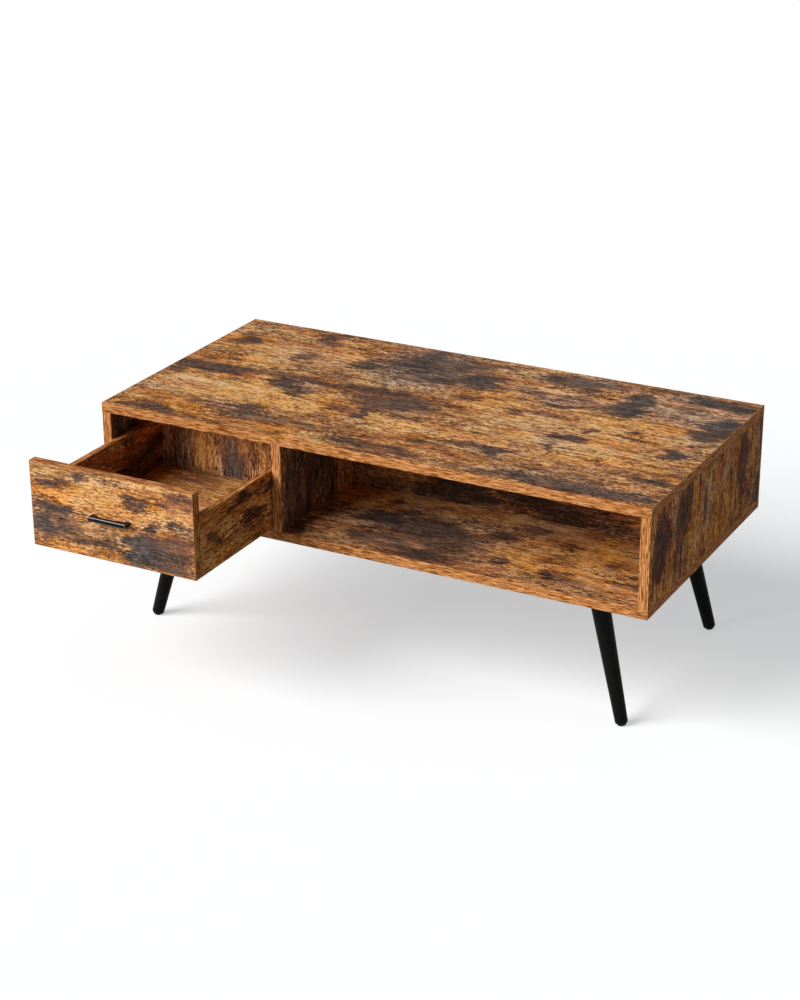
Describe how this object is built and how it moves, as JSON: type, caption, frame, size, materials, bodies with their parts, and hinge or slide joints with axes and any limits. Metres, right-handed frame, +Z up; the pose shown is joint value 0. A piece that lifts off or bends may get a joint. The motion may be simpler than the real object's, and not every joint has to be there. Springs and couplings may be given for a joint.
{
  "type": "coffee table with drawer",
  "caption": "Low rectangular coffee table: an open-shelf board case with an inset pull-out drawer at one end, on splayed tapered legs.",
  "frame": {"origin": "on the floor, under the middle of the rectangle that the case and the open drawer take up together", "axes": "+X along the case to its right end, +Z up, so the drawer slides out along -Y"},
  "size_m": [1, 0.748, 0.407],
  "materials": {
    "board": "matt rustic brown decor on chipboard",
    "edge_band": "satin light brown edge banding",
    "drawer_board": "matt rustic brown decor on chipboard",
    "drawer_floor_board": "matt rustic brown decor on hardboard",
    "leg_paint": "matt black lacquer on turned wood",
    "black_steel": "satin black powder coat",
    "zinc_steel": "bright zinc plate",
    "dowel_wood": "plain beech",
    "black_plastic": "matt moulded plastic",
    "nylon": "smooth nylon strip"
  },
  "bodies": {
    "cabinet": {"top_panel": "board", "bottom_panel": "board", "left_side_panel": "board", "right_side_panel": "board", "divider_panel": "board", "shelf_back_panel": "board", "drawer_bay_back_panel": "board", "top_panel_edge_bands": "edge_band", "bottom_panel_edge_bands": "edge_band", "upright_edge_bands": "edge_band", "front_left_leg": "leg_paint", "front_right_leg": "leg_paint", "rear_left_leg": "leg_paint", "rear_right_leg": "leg_paint", "front_left_leg_plate": "black_steel", "front_right_leg_plate": "black_steel", "rear_left_leg_plate": "black_steel", "rear_right_leg_plate": "black_steel", "leg_plate_screws": "black_steel", "cam_bolts": "zinc_steel", "cam_locks": "zinc_steel", "bottom_screws": "zinc_steel", "hanger_bolts": "zinc_steel", "drawer_stop_screws": "zinc_steel", "top_dowels": "dowel_wood", "bottom_dowels": "dowel_wood", "foot_glides": "black_plastic", "drawer_stops": "black_plastic", "drawer_glide_strips": "nylon"},
    "drawer": {"drawer_front": "board", "drawer_front_edge_bands": "edge_band", "drawer_left_side": "drawer_board", "drawer_right_side": "drawer_board", "drawer_back": "drawer_board", "drawer_bottom": "drawer_floor_board", "drawer_box_edge_bands": "edge_band", "drawer_cam_bolts": "zinc_steel", "drawer_cam_locks": "zinc_steel", "drawer_dowels": "dowel_wood", "drawer_back_screws": "zinc_steel", "drawer_handle": "black_steel", "handle_screws": "zinc_steel"}
  },
  "joints": [
    {"name": "drawer_slide", "type": "slide", "parent": "cabinet", "child": "drawer", "axis": [0, -1, 0], "range_m": [-0.233, 0.057]}
  ]
}
